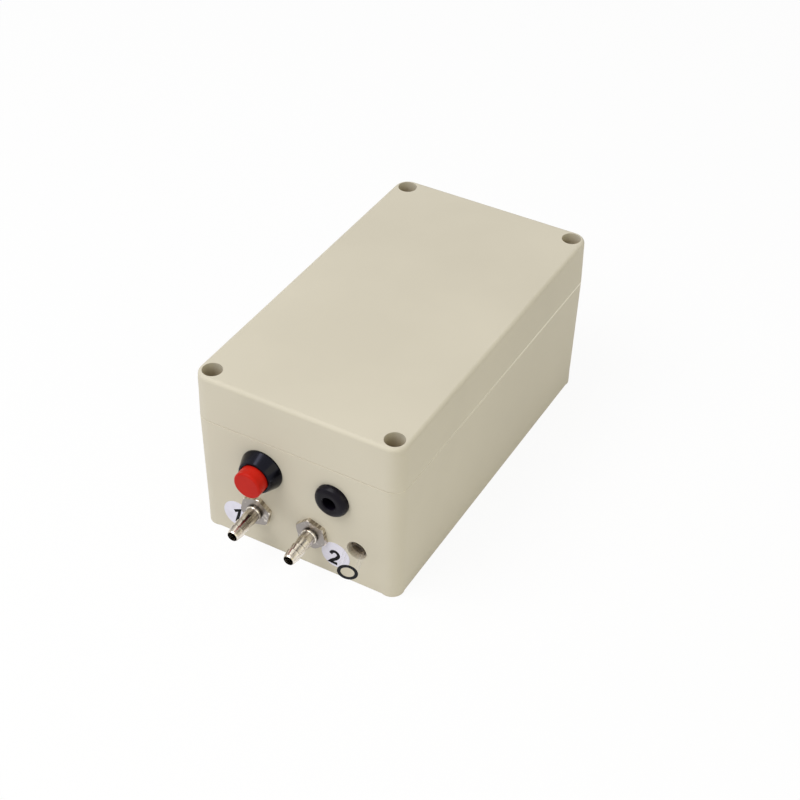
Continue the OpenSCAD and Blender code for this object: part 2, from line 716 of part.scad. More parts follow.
// Diaphragm: a clamped rim, a thin rolled web, and a thick middle drawn back by the throw
diaphragm_t = 1.5;
rim_r = 14.5;
chamber_r = 11;
middle_back = disc_back + disc_t;
module diaphragm() color("#2c2c2e")
  in_pump() to_front() rotate_extrude() polygon([
    [clamp_screw_r + fit, middle_back], [disc_r + 0.3, middle_back], [chamber_r - 0.4, case_front],
    [rim_r, case_front], [rim_r, case_front + diaphragm_t], [chamber_r - 0.8, case_front + diaphragm_t],
    [disc_r, middle_back + diaphragm_t], [clamp_screw_r + fit, middle_back + diaphragm_t]]);

clamp_t = 1.4;
module diaphragm_clamp() color("#b9bcc0")
  in_pump() to_front() {
    translate([0, 0, middle_back + diaphragm_t]) cylinder(h = clamp_t, r1 = disc_r, r2 = disc_r - 0.5);
    translate([0, 0, middle_back - clamp_screw_depth])
      cylinder(h = clamp_screw_depth + diaphragm_t, r = clamp_screw_r);
  }

// Crankcase: open on the right, flanged at the front, with four feet
head_screw_d = 3;
head_screw_at = head_size / 2 - 3.4;
head_screw_bite = 3;
cover_t = 2;
cover_screw_d = 2.5;
cover_screw_y = 13;
cover_screw_up = 13;
cover_screw_down = -6;
throat = 14;
recess_depth = 4;
module at_cover_screws()
  for (y = [-cover_screw_y, cover_screw_y], z = [cover_screw_down, cover_screw_up])
    translate([0, y, z]) children();
module at_motor_screws()
  for (y = [-motor_screw_y, motor_screw_y]) translate([0, y, 0]) children();
// The head screws, in the frame that looks out of the head
module at_head_screws()
  for (x = [-head_screw_at, head_screw_at], y = [-head_screw_at, head_screw_at])
    translate([x, y, 0]) children();

module crankcase() color("#25272a")
  in_pump() difference() {
    union() {
      translate([-case_half, -case_front, -case_drop])
        cube([2 * case_half, case_front + case_back, case_drop + head_size / 2]);
      translate([0, flange_t - case_front, 0]) to_front() rounded_plate(head_size, head_size, flange_t, 3);
      for (side = [0, 180], y = [-foot_spread, foot_spread])
        translate([0, y, -case_drop]) rotate([0, 0, side]) {
          translate([foot_reach, 0, 0]) cylinder(h = foot_t, r = foot_r);
          translate([case_half - over, -foot_r, 0]) cube([foot_reach - case_half + over, 2 * foot_r, foot_t]);
        }
    }
    translate([wall - case_half, 0, 0]) to_right() cylinder(h = 2 * case_half, r = cavity_r);
    translate([-case_half - over, 0, 0]) to_right() cylinder(h = 2 * wall, r = bearing_r + 1 + fit);
    translate([-throat / 2, -case_front - over, -throat / 2]) cube([throat, case_front, throat]);
    translate([0, recess_depth - case_front, 0]) to_front() cylinder(h = 2 * recess_depth, r = chamber_r);
    to_front() at_head_screws() translate([0, 0, case_front - flange_t - over])
      cylinder(h = 3 * flange_t, r = head_screw_d / 2 + fit);
    at_cover_screws() translate([case_half - 6, 0, 0]) to_right() cylinder(h = 8, r = cover_screw_d / 2 + fit);
    at_motor_screws() translate([-case_half - over, 0, 0]) to_right() cylinder(h = 2 * wall, r = motor_screw_d / 2 + fit);
    for (x = [-foot_reach, foot_reach], y = [-foot_spread, foot_spread])
      translate([x, y, -case_drop - over]) cylinder(h = foot_t + 2 * over, r = foot_screw_d / 2 + fit);
  }

module crankcase_cover() color("#34373b")
  in_pump() translate([case_half, 0, 0]) difference() {
    union() {
      translate([0, flange_t - case_front + slack, foot_t - case_drop + slack])
        cube([cover_t, case_front + case_back - flange_t - slack, case_drop + head_size / 2 - foot_t - slack]);
      to_right() cylinder(h = cover_t + 1, r = 7);
    }
    at_cover_screws() translate([-over, 0, 0]) to_right()
      cylinder(h = cover_t + 2 * over, r = cover_screw_d / 2 + fit);
  }

// Valve plate: the working chamber, with one group of holes in and one out
pocket_front = case_front + diaphragm_t;
chamber_floor = pocket_front + 4;
plate_front = chamber_floor + 4;
valve_at = 6;
flap_r = 3.3;
flap_t = 0.6;
valve_stem_r = 0.9;

module valve_plate() color("#d9d6cc")
  in_pump() to_front() difference() {
    translate([0, 0, case_front]) rounded_plate(head_size, head_size, plate_front - case_front, 3);
    translate([0, 0, case_front - over]) cylinder(h = diaphragm_t + over, r = rim_r + 0.1);
    translate([0, 0, case_front]) cylinder(h = chamber_floor - case_front, r = chamber_r);
    for (x = [-valve_at, valve_at]) translate([x, 0, case_front]) {
      cylinder(h = 2 * head_t, r = valve_stem_r + fit);
      for (a = [45 : 90 : 359]) rotate([0, 0, a]) translate([2, 0, 0]) cylinder(h = 2 * head_t, r = 0.7);
    }
    at_head_screws() translate([0, 0, case_front - over]) cylinder(h = 2 * head_t, r = head_screw_d / 2 + fit);
  }

// Umbrella flaps: the inlet flap opens into the chamber, the outlet flap into the head
module umbrella(length) {
  cylinder(h = flap_t, r1 = flap_r - 0.3, r2 = flap_r);
  cylinder(h = flap_t + length, r = valve_stem_r);
  translate([0, 0, flap_t + length]) cylinder(h = 0.7, r1 = 1.2, r2 = 0.8);
}
module valve_flaps() color("#3d3f42")
  in_pump() to_front() {
    translate([-valve_at, 0, chamber_floor - flap_t]) umbrella(plate_front - chamber_floor);
    translate([valve_at, 0, plate_front + flap_t]) rotate([180, 0, 0]) umbrella(plate_front - chamber_floor);
  }

// Head with two plenums, cooling ribs and two hose nipples
head_t = 8;
head_front = plate_front + head_t;
plenum = 4;
rib_l = head_size / 2;
nipple_l = 9;
nipple_r = 2.7;
nipple_bore_r = 1.8;
nipple_x = (exhaust_x - port_2_x) / 2;
nipple_root_y = pump_y - head_front;
module at_nipples() {
  translate([-nipple_x, hose_z - pump_z, 0]) children();
  translate([nipple_x, exhaust_z - pump_z, 0]) children();
}
module pump_head() color("#25272a")
  in_pump() to_front() difference() {
    union() {
      translate([0, 0, plate_front]) rounded_plate(head_size, head_size, head_t, 3);
      for (y = [2 : 3.5 : head_size / 2 - 3])
        translate([-rib_l / 2, y - 0.6, plate_front + over]) cube([rib_l, 1.2, head_t + 0.5]);
      at_nipples() translate([0, 0, head_front]) {
        cylinder(h = 1, r = nipple_r + 0.8);
        barb(nipple_r, nipple_r - 0.3, nipple_l / 3, 3);
      }
    }
    for (x = [-7, 7]) translate([x - 5.5, -9, plate_front - over]) cube([11, 18, plenum + over]);
    at_nipples() translate([0, 0, plate_front + over]) cylinder(h = head_t + nipple_l + over, r = nipple_bore_r);
    at_head_screws() translate([0, 0, case_front]) cylinder(h = 4 * head_t, r = head_screw_d / 2 + fit);
  }

module head_screws() color("#b9bcc0")
  in_pump() to_front() at_head_screws()
    translate([0, 0, head_front]) pan_screw(head_screw_d, 5.4, 2, head_front - case_front + head_screw_bite);

module cover_screws() color("#b9bcc0")
  in_pump() at_cover_screws()
    translate([case_half + cover_t, 0, 0]) to_right() pan_screw(cover_screw_d, 4.5, 1.6, cover_t + 5.5);

module motor_screws() color("#b9bcc0")
  in_pump() at_motor_screws()
    translate([wall - case_half, 0, 0]) to_right() pan_screw(motor_screw_d, 4.4, 1.2, wall + can_wall + 1);

module foot_grommets() color("#2c2c2e")
  at_pump_feet() translate([0, 0, foot_boss_top]) ring(grommet_r, foot_screw_d / 2 + fit, grommet_h);

// Rubber saddle that carries the rear of the motor
saddle_w = 20;
saddle_wrap = 4;
module motor_saddle() color("#2c2c2e")
  difference() {
    translate([pump_x + motor_back + 3, pump_y - saddle_w / 2, wall])
      cube([10, saddle_w, pump_z - wall - motor_d / 2 + saddle_wrap]);
    translate([pump_x + motor_back, pump_y, pump_z]) to_right() cylinder(h = 20, r = motor_d / 2 + fit);
  }

// Solenoid valve between port 1 and the tee. Its own frame starts at the rear face of the
// plastic body, and its Z runs backwards along the plunger.

block = [14, 14, 12];
frame_l = 22;
frame_t = 1.2;
frame_w = 18;
frame_half = 8;
plunger_r = 2.5;
sleeve_r = 3.5;
bobbin_r = 6.6;
winding_r = 6.2;
valve_y = front_y + valve_share * case_length;
valve_rear = valve_y + block.z;
valve_frame_bottom = hose_z - frame_half;
valve_mouth_l = 6.4;
valve_barb_l = 9;
// The seat closes the front bore; port 2 is beside it and the vent in front of it
seat_z = -block.z / 2;
seat_chamber_r = 4;
seat_chamber_h = 3.2;
side_z = seat_z + seat_chamber_h / 2;
vent_z = -0.75 * block.z;
vent_bore_r = 0.8;
plunger_l = 20;
plunger_hole_r = 1.6;
plunger_hole_l = 8;
plunger_end = seat_z + fit + plunger_l;
core_face = plunger_end + plunger_travel + 0.3;
core_r = plunger_r + slack - fit;
module in_valve() translate([port_1_x, valve_rear, hose_z]) to_back() children();
module at_valve_feet()
  for (y = [3.5, frame_l - 3.5], x = [-1, 1])
    translate([port_1_x + x * (frame_w / 2 + foot_r - 0.5), valve_rear + y, 0]) children();

module valve_body() color("#e6e2d6")
  in_valve() difference() {
    union() {
      translate([0, 0, -block.z]) rounded_plate(block.x, block.y, block.z, 1.5);
      translate([0, 0, -block.z]) rotate([180, 0, 0]) {
        cylinder(h = 1, r = nipple_r + 0.8);
        barb(nipple_r, nipple_r - 0.3, valve_barb_l / 3, 3);
      }
      translate([block.x / 2, 0, side_z]) to_right() barb(nipple_r, nipple_r - 0.3, valve_mouth_l / 2, 2);
      translate([-block.x / 2, 0, vent_z]) to_left() cylinder(h = vent_l, r = vent_r);
    }
    translate([0, 0, -block.z - valve_barb_l - over])
      cylinder(h = seat_z + block.z + valve_barb_l + 2 * over, r = nipple_bore_r);
    translate([0, 0, seat_z]) cylinder(h = block.z, r = plunger_r + slack);
    translate([0, 0, seat_z]) cylinder(h = seat_chamber_h, r = seat_chamber_r);
    translate([0, 0, side_z]) to_right() cylinder(h = 2 * block.x, r = nipple_bore_r - 0.3);
    translate([0, 0, vent_z]) to_left() cylinder(h = 2 * block.x, r = vent_bore_r);
  }
vent_l = 4;
vent_r = 2;

// Open steel frame of folded strap: front and rear cheeks and a base with four ears
module valve_frame() color("#a9adb0")
  difference() {
    union() {
      for (y = [0, frame_l - frame_t])
        translate([port_1_x - frame_w / 2, valve_rear + y, valve_frame_bottom])
          cube([frame_w, frame_t, 2 * frame_half]);
      translate([port_1_x - frame_w / 2, valve_rear, valve_frame_bottom]) cube([frame_w, frame_l, frame_t]);
      at_valve_feet() translate([0, 0, valve_frame_bottom]) cylinder(h = frame_t, r = foot_r);
    }
    in_valve() translate([0, 0, -over]) cylinder(h = 2 * frame_l, r = plunger_r + slack);
    at_valve_feet() translate([0, 0, valve_frame_bottom - over])
      cylinder(h = 3 * over + frame_t, r = foot_screw_d / 2 + fit);
  }

module valve_bobbin() color("#e9e4d6")
  in_valve() difference() {
    union() {
      translate([0, 0, frame_t]) cylinder(h = 1.2, r = bobbin_r);
      translate([0, 0, frame_l - frame_t - 1.2]) cylinder(h = 1.2, r = bobbin_r);
      translate([0, 0, frame_t]) cylinder(h = frame_l - 2 * frame_t, r = sleeve_r);
    }
    translate([0, 0, -over]) cylinder(h = 2 * frame_l, r = plunger_r + slack);
  }

module valve_winding() color("#b5652f")
  in_valve() translate([0, 0, frame_t + 1.2 + fit])
    ring(winding_r, sleeve_r + fit, frame_l - 2 * frame_t - 2.4 - 2 * fit);

// Steel plunger that stands on the seat, with a blind hole for its return spring
module valve_plunger() color("#9aa0a4")
  in_valve() translate([0, 0, seat_z + fit]) difference() {
    cylinder(h = plunger_l, r = plunger_r);
    translate([0, 0, 1]) ring(plunger_r + over, plunger_r - 0.4, 0.8);
    translate([0, 0, plunger_l - plunger_hole_l]) cylinder(h = plunger_hole_l + over, r = plunger_hole_r);
  }

// Fixed core in the rear cheek, it stops the plunger
module valve_core() color("#a9adb0")
  in_valve() {
    translate([0, 0, core_face]) cylinder(h = frame_l - core_face, r = core_r);
    translate([0, 0, frame_l]) cylinder(h = 1, r = core_r + 1);
  }

module plunger_spring() color("#b9bcc0")
  in_valve() translate([0, 0, plunger_end - plunger_hole_l])
    coil_spring(plunger_hole_r - 0.45, 0.2, core_face - plunger_end + plunger_hole_l, 7);

// Foam filter on the vent
filter_r = 4;
filter_l = 5;
module vent_filter() color("#50524c")
  in_valve() translate([-block.x / 2 - vent_l, 0, vent_z]) to_left() difference() {
    translate([0, 0, -2]) cylinder(h = filter_l + 2, r = filter_r);
    translate([0, 0, -2 - over]) cylinder(h = 2 + over, r = vent_r + fit);
  }

// Tee between port 2, the pump and the valve

tee_y = valve_rear + side_z;
tee_half = 5;
tee_barb = 7;
module tee_fitting() color("#f0eee6")
  translate([port_2_x, tee_y, hose_z]) difference() {
    union() {
      for (turn = [90, -90]) rotate([turn, 0, 0]) {
        cylinder(h = tee_half, r = nipple_r + 0.8);
        translate([0, 0, tee_half]) barb(nipple_r, nipple_r - 0.3, tee_barb / 2, 2);
      }
      to_left() cylinder(h = tee_half, r = nipple_r + 0.8);
      to_left() translate([0, 0, tee_half]) barb(nipple_r, nipple_r - 0.3, tee_barb / 3, 2);
    }
    translate([0, -20, 0]) to_back() cylinder(h = 40, r = nipple_bore_r);
    to_left() cylinder(h = 20, r = nipple_bore_r);
  }

// Silicone hoses, pushed over the barbs
module hose(length) ring(hose_d / 2, barb_d / 2 + 0.2, length);
hose_front = panel_y(port_z) - shank_back + 0.8;
module silicone_hoses() color("#dfe3df") {
  translate([port_1_x, hose_front, hose_z]) to_back() hose(valve_y - 1.2 - hose_front);
  translate([port_2_x, hose_front, hose_z]) to_back() hose(tee_y - tee_half - 0.2 - hose_front);
  translate([port_2_x, tee_y + tee_half + 0.2, hose_z]) to_back()
    hose(nipple_root_y - 1.2 - tee_y - tee_half - 0.2);
  translate([port_1_x + block.x / 2 + 0.2, tee_y, hose_z]) to_right()
    hose(port_2_x - tee_half - port_1_x - block.x / 2 - 0.4);
}

// Control board on bosses of the rear wall

board_t = 1.6;
board_low = 8;
board_gap = 8;
board_y = case_length / 2 - base_draft - wall - board_gap;
board_hole_x = board_width / 2 - 4;
module at_board_holes()
  for (x = [-board_hole_x, board_hole_x], z = [board_low + 4, board_low + board_height - 4])
    translate([x, board_y, z]) to_back() children();
module board_bosses()
  intersection() {
    at_board_holes() cylinder(h = board_gap + wall, r = foot_r);
    moulded_block(case_width, case_length, seam_height, corner_radius, [base_draft, 0], [0, 0]);
  }

module control_board() color("#2f6b45")
  difference() {
    translate([-board_width / 2, board_y - board_t, board_low]) cube([board_width, board_t, board_height]);
    at_board_holes() translate([0, 0, -board_t - over]) cylinder(h = board_t + 2 * over, r = foot_screw_d / 2 + fit);
  }

// Parts soldered to the board: two capacitors, a timer chip, a transistor and a terminal block
capacitor_r = 5;
capacitor_h = 11;
capacitor_x = [-20, -6];
chip = [10, 3.5, 6.5];
transistor = [10, 4.5, 9];
block_w = 44;
block_d = 9;
block_h = 8;
parts_z = board_low + 8;
block_z = board_low + board_height - block_h - 2;
board_face = board_y - board_t;
module board_components() color("#2a2d33") {
  for (x = capacitor_x) translate([x, board_face, parts_z + capacitor_r - 1]) to_front() {
    cylinder(h = capacitor_h, r = capacitor_r);
    translate([0, 0, capacitor_h]) cylinder(h = 0.5, r1 = capacitor_r, r2 = capacitor_r - 0.5);
  }
  translate([5, board_face - chip.y, parts_z]) cube(chip);
  translate([20, board_face - transistor.y, parts_z]) cube(transistor);
  translate([-block_w / 2, board_face - block_d, block_z]) cube([block_w, block_d, block_h]);
}

// Insulated wires from the switch, inlet, motor and valve to the terminal block. Each leaves its
// tag along one bend and comes down to the block along another, so that no two of them cross.
wire_r = 0.6;
wire_gap = 0.35;
wire_pitch = 3;
function bend(a, b, c, d, t) =
  (1 - t) ^ 3 * a + 3 * (1 - t) ^ 2 * t * b + 3 * (1 - t) * t ^ 2 * c + t ^ 3 * d;
module wire(from, leave, way) {
  to = [way * wire_pitch - 19, board_face - block_d - wire_gap, block_z + block_h / 2];
  points = [for (i = [0 : 16]) bend(from, from + leave, to + [0, -max(14, leave.y), 12], to, i / 16)];
  swept_wire(points, wire_r, 6, [1, 0, 0]);
}
module wiring() color("#a8322c") {
  over_valve = [0, 34, 14];
  lugs_y = panel_y(button_z) - (body_back - back_t - 6) + wire_gap;
  pin_y = panel_y(jack_z) - jack_back + 4 + wire_gap;
  lug_y = pin_y + 1;
  terminal_x = pump_x + motor_back - end_cap_h - terminal_reach + 1.4;
  for (side = [0, 1]) {
    turn = 2 * side - 1;
    wire([terminal_x, pump_y - turn * terminal_y, pump_z + 1.4 + wire_gap], [0, 4, 26], side);
    wire([port_1_x + 1.5 * turn, valve_rear + frame_l / 2, hose_z + winding_r + wire_gap], [0, 20, 20], 2 + side);
    wire([button_x + lug_x * turn, lugs_y, button_z + 0.4], over_valve, 4 + side);
  }
  wire([jack_x, pin_y, jack_z + 0.3], over_valve, 9);
  wire([jack_x, lug_y, jack_z + 3.6], over_valve, 10);
}

// The like screws that hold the pump, the valve and the board to the bosses of the base
module chassis_screw(grip) pan_screw(foot_screw_d, 5.4, 1.7, grip + 5);
module chassis_screws() color("#b9bcc0") {
  at_pump_feet() translate([0, 0, pump_z - case_drop + foot_t]) chassis_screw(foot_t + grommet_h - 2);
  at_valve_feet() translate([0, 0, valve_frame_bottom + frame_t]) chassis_screw(frame_t);
  at_board_holes() translate([0, 0, -board_t]) rotate([180, 0, 0]) chassis_screw(board_t);
}

box_base();
box_lid();
lid_gasket();
lid_screws();
thread_inserts();
switch_body();
switch_nut();
switch_cap();
switch_spring();
switch_bridge();
switch_back();
switch_lugs();
jack_body();
jack_nut();
jack_pin();
jack_lug();
port_1_fitting();
port_2_fitting();
port_nuts();
port_washers();
label_1();
label_2();
exhaust_tube();
motor_can();
motor_end_cap();
motor_magnets();
motor_bearings();
motor_brushes();
motor_terminals();
motor_shaft();
motor_armature();
motor_screws();
crank_hub();
crank_bearing();
connecting_rod();
diaphragm();
diaphragm_clamp();
crankcase();
crankcase_cover();
cover_screws();
valve_plate();
valve_flaps();
pump_head();
head_screws();
foot_grommets();
motor_saddle();
valve_body();
valve_frame();
valve_bobbin();
valve_winding();
valve_plunger();
valve_core();
plunger_spring();
vent_filter();
tee_fitting();
silicone_hoses();
control_board();
board_components();
chassis_screws();
wiring();
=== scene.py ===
import math

import bpy
from mathutils import Matrix, Vector


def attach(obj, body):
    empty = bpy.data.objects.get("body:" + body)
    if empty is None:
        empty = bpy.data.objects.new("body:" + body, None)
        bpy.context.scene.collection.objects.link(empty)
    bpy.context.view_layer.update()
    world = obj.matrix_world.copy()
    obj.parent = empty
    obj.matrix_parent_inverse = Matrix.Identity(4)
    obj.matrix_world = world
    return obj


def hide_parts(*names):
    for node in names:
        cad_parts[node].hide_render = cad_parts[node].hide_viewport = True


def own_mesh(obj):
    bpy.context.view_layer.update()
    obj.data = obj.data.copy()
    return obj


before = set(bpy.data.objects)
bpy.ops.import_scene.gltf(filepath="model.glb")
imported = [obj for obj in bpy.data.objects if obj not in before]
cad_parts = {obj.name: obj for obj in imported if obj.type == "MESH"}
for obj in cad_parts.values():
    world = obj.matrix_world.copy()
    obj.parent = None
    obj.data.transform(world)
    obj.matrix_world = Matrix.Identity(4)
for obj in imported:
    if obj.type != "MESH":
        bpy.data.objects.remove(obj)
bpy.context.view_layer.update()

# Box base and lid. Two injection moulded shells of ivory ABS, the base with leaning walls, the
# lid a deep cover. Four screws through the lid hold them together.
MM = 0.001


def linear(hex_colour):
    """sRGB hex to the linear colour that Blender works in."""
    parts = [int(hex_colour[i : i + 2], 16) / 255 for i in (1, 3, 5)]
    return [c / 12.92 if c <= 0.04045 else ((c + 0.055) / 1.055) ** 2.4 for c in parts] + [1.0]


def add(tree, kind, into=None, stops=None, **settings):
    """Adds one shader node: its settings, its sockets (a value or another socket), its ramp."""
    node = tree.nodes.new(kind)
    for key, value in settings.items():
        setattr(node, key, value)
    for key, value in (into or {}).items():
        if isinstance(value, bpy.types.NodeSocket):
            tree.links.new(value, node.inputs[key])
        else:
            node.inputs[key].default_value = value
    if stops:
        ramp = node.color_ramp.elements
        while len(ramp) < len(stops):
            ramp.new(0.5)
        for element, (place, colour) in zip(ramp, stops):
            element.position = place
            element.color = linear(colour)
    return node


def new_material(name):
    """An empty material: its node tree, its Principled shader and the object's own metres."""
    material = bpy.data.materials.new(name)
    material.use_nodes = True
    tree = material.node_tree
    metres = add(tree, "ShaderNodeTexCoord").outputs["Object"]
    return material, tree, tree.nodes["Principled BSDF"], metres


def finish(name, tints, patch_mm, rough, grain_mm, depth_mm, **fixed):
    """Two close tints in patches, a gloss that varies with them, and a fine grain in relief."""
    material, tree, shader, metres = new_material(name)
    patches = add(
        tree,
        "ShaderNodeTexNoise",
        {"Vector": metres, "Scale": 1 / (patch_mm * MM), "Detail": 3.0},
    )
    tint = add(
        tree,
        "ShaderNodeValToRGB",
        {"Fac": patches.outputs["Fac"]},
        [(0.35, tints[0]), (0.65, tints[1])],
    )
    dull = add(
        tree,
        "ShaderNodeMapRange",
        {"Value": patches.outputs["Fac"], "To Min": rough[0], "To Max": rough[1]},
    )
    grain = add(
        tree,
        "ShaderNodeTexNoise",
        {"Vector": metres, "Scale": 1 / (grain_mm * MM), "Detail": 2.0},
    )
    relief = add(
        tree,
        "ShaderNodeBump",
        {"Height": grain.outputs["Fac"], "Distance": depth_mm * MM, "Strength": 1.0},
    )
    tree.links.new(tint.outputs["Color"], shader.inputs["Base Color"])
    tree.links.new(dull.outputs["Result"], shader.inputs["Roughness"])
    tree.links.new(relief.outputs["Normal"], shader.inputs["Normal"])
    for socket, value in fixed.items():
        shader.inputs[socket.replace("_", " ")].default_value = value
    return material


def dress(material, *nodes):
    """Gives solids their finish."""
    for node in nodes:
        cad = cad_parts[node]
        cad.data.materials.clear()
        cad.data.materials.append(material)


# ABS from a spark-eroded mould: matt ivory, with an even grain that spreads every highlight.
# The real grain is about 0.05 mm and is drawn at 0.4 mm so that it shows at all.
moulded_abs = finish(
    "ivory_abs_moulded", ("#ccc5b3", "#d1cab8"), 60, (0.52, 0.62), 0.4, 0.012, IOR=1.42
)
# Along the right side the two chamfers that meet at the seam carry a painted highlight, stronger
# towards the back, paler than the moulded skin. The other sides keep their skin.
SEAM_Z = 54.5
CHAMFER = 0.4
tree = moulded_abs.node_tree
shader = tree.nodes["Principled BSDF"]
metres = tree.nodes["Texture Coordinate"].outputs["Object"]
skin = shader.inputs["Base Color"].links[0].from_socket
place = add(tree, "ShaderNodeSeparateXYZ", {"Vector": metres})
at_seam = add(
    tree,
    "ShaderNodeMath",
    {0: place.outputs["Z"], 1: SEAM_Z * MM, 2: CHAMFER * MM},
    operation="COMPARE",
)
outward = add(tree, "ShaderNodeNewGeometry").outputs["Normal"]
facing = add(tree, "ShaderNodeSeparateXYZ", {"Vector": outward})
on_side = add(
    tree, "ShaderNodeMapRange", {"Value": facing.outputs["X"], "From Min": 0.3, "From Max": 0.65}
)
rearward = add(
    tree,
    "ShaderNodeMapRange",
    {"Value": place.outputs["Y"], "From Min": -70 * MM, "From Max": 30 * MM, "To Min": 0.3},
)
seam_glint_reach = add(
    tree,
    "ShaderNodeMath",
    {0: on_side.outputs["Result"], 1: rearward.outputs["Result"]},
    operation="MULTIPLY",
)
# Painted highlight on the seam's chamfers, on the right side only.
seam_glint = add(
    tree, "ShaderNodeMath", {0: at_seam.outputs[0], 1: seam_glint_reach.outputs[0]}, operation="MULTIPLY"
)
seam_lit = add(
    tree,
    "ShaderNodeMix",
    {0: seam_glint.outputs[0], 6: skin, 7: linear("#fbf6ea")},
    data_type="RGBA",
)
tree.links.new(seam_lit.outputs[2], shader.inputs["Base Color"])
# The lid is the same plastic. Its deep screw holes get painted shade, a darker brown tint that
# deepens where the surface is hemmed in.
HOLE_WIDTH = 9
lid_abs = moulded_abs.copy()
lid_abs.name = "ivory_abs_lid"
tree = lid_abs.node_tree
shader = tree.nodes["Principled BSDF"]
unshaded_colour = shader.inputs["Base Color"].links[0].from_socket
nooks = add(tree, "ShaderNodeAmbientOcclusion", {"Distance": HOLE_WIDTH * MM}, samples=8)
hole_open = add(
    tree,
    "ShaderNodeMapRange",
    {"Value": nooks.outputs["AO"], "From Min": 0.05, "From Max": 0.42},
)
# Painted shade in the deep holes.
hole_shaded = add(
    tree,
    "ShaderNodeMix",
    {0: hole_open.outputs["Result"], 6: linear("#9c8556"), 7: unshaded_colour},
    data_type="RGBA",
)
tree.links.new(hole_shaded.outputs[2], shader.inputs["Base Color"])
dress(moulded_abs, "box_base")
dress(lid_abs, "box_lid")

# Seal, lid screws and threaded inserts. A soft rubber cord lies in the groove of the base rim;
# zinc plated screws go down the deep holes of the lid into brass inserts melted into the posts.

# Nitrile rubber: dead black, dull and slightly dusty.
rubber = finish(
    "black_rubber_moulded", ("#2b2b2a", "#353533"), 8, (0.62, 0.78), 0.3, 0.02, IOR=1.5
)
# Zinc plate on steel: pale grey metal with a soft cloudy shine.
zinc_plate = finish(
    "zinc_plated_steel", ("#b3b5b2", "#c6c8c4"), 3, (0.28, 0.4), 0.15, 0.004, Metallic=1.0
)
# Turned brass: yellow metal, bright but not polished.
brass = finish("turned_brass", ("#c4a052", "#d0ae62"), 3, (0.25, 0.36), 0.2, 0.005, Metallic=1.0)
dress(rubber, "lid_gasket")
dress(zinc_plate, "lid_screws")
dress(brass, "thread_inserts")

# Push-button switch. The bezel and its bushing are one glossy black moulding, pushed through
# the panel and held by a nut behind; the cap is a red moulding that slides in it.

# Black ABS from a polished mould: deep black with a soft blue-grey streak where light falls.
gloss_black = finish(
    "gloss_black_abs",
    ("#07070a", "#0a0a0f"),
    12,
    (0.14, 0.2),
    1.5,
    0.003,
    IOR=1.29,
    Specular_Tint=linear("#dcdeff"),
)
# Red ABS from a polished mould: strong orange-red that stays saturated in its highlights.
red_abs = finish(
    "red_abs_moulded", ("#b91c10", "#c02114"), 6, (0.3, 0.38), 0.35, 0.005, IOR=1.2
)
# Drawn spring wire: clean grey steel.
spring_wire = finish(
    "drawn_spring_steel", ("#9ea3a8", "#b4b8bc"), 1, (0.25, 0.35), 0.1, 0.004, Metallic=1.0
)
# Stamped copper: brown-pink metal, a little dulled by air.
copper = finish("stamped_copper", ("#b4673c", "#c47a4c"), 3, (0.3, 0.42), 0.2, 0.005, Metallic=1.0)
# Phenolic paper board: brown, with faint fibres and a low sheen.
phenolic = finish(
    "phenolic_board", ("#6c3f24", "#7c4c2e"), 2, (0.45, 0.6), 0.25, 0.01, IOR=1.6
)
dress(gloss_black, "switch_body")
dress(red_abs, "switch_cap")
dress(zinc_plate, "switch_nut")
dress(spring_wire, "switch_spring")
dress(copper, "switch_bridge")
dress(phenolic, "switch_back")
dress(brass, "switch_lugs")


def shortening(node):
    """A copy of a spring that stands for it on the case; the original is hidden."""
    spring = bpy.data.objects.new(node + "_coil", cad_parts[node].data.copy())
    bpy.context.scene.collection.objects.link(spring)
    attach(spring, "case")
    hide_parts(node)
    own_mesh(spring)


# The spring stands on the bushing's floor and gives way to the cap.
shortening("switch_spring")

# Power inlet. A round black moulding with a domed flange, its thread through the panel; the
# pin inside is turned from bright steel.

# Ground steel: smooth and mirror-like, with a cool tone.
bright_steel = finish(
    "ground_steel", ("#c3c5c7", "#d0d2d3"), 4, (0.12, 0.2), 0.15, 0.002, Metallic=1.0
)
# Black nylon: a violet-black with a soft satin shine on the dome.
inlet_nylon = finish(
    "satin_black_nylon", ("#0e0b13", "#130f19"), 10, (0.26, 0.34), 0.5, 0.005, IOR=1.23
)
dress(inlet_nylon, "jack_body")
dress(zinc_plate, "jack_nut")
dress(bright_steel, "jack_pin")
dress(brass, "jack_lug")

# Hose fittings. Turned from hexagon brass bar and nickel plated, pushed through the panel and
# held by a nut. The barb's three steps and the bead in front of the hexagon catch the light.

# Nickel plate over turned brass: a slightly warm grey mirror, broken by the lathe's rings and
# clouded in streaks along the bar. The faces cut across the bar stay duller and darker than its
# sides. Painted shade darkens the corners in front of the hexagon, and a painted shadow lies
# behind the barb's steps. The real rings are about 0.1 mm apart and are drawn at 0.35 mm so that
# they show.
RING_MM = 0.35
STREAK_MM = 2.2
CORNER_MM = 0.9
HEX_FACE_Y = -81.05
MIDDLE_STEP_Y = -89.61
OUTER_STEP_Y = -93.21
nickel_plate, tree, shader, metres = new_material("nickel_plated_brass")
shader.inputs["Metallic"].default_value = 1.0
rings = add(
    tree,
    "ShaderNodeTexWave",
    {"Vector": metres, "Scale": math.pi / (10 * RING_MM * MM), "Distortion": 1.2, "Detail": 1.0},
    wave_type="BANDS",
    bands_direction="Y",
)
lengthwise = add(tree, "ShaderNodeMapping", {"Vector": metres, "Scale": (1.0, 0.12, 1.0)})
cloud = add(
    tree,
    "ShaderNodeTexNoise",
    {"Vector": lengthwise.outputs["Vector"], "Scale": 1 / (STREAK_MM * MM), "Detail": 2.0},
)
outward = add(tree, "ShaderNodeNewGeometry").outputs["Normal"]
facing = add(tree, "ShaderNodeSeparateXYZ", {"Vector": outward})
cut_across = add(
    tree,
    "ShaderNodeMapRange",
    {"Value": facing.outputs["Y"], "From Min": -0.93, "From Max": -0.99, "To Max": 0.5},
)
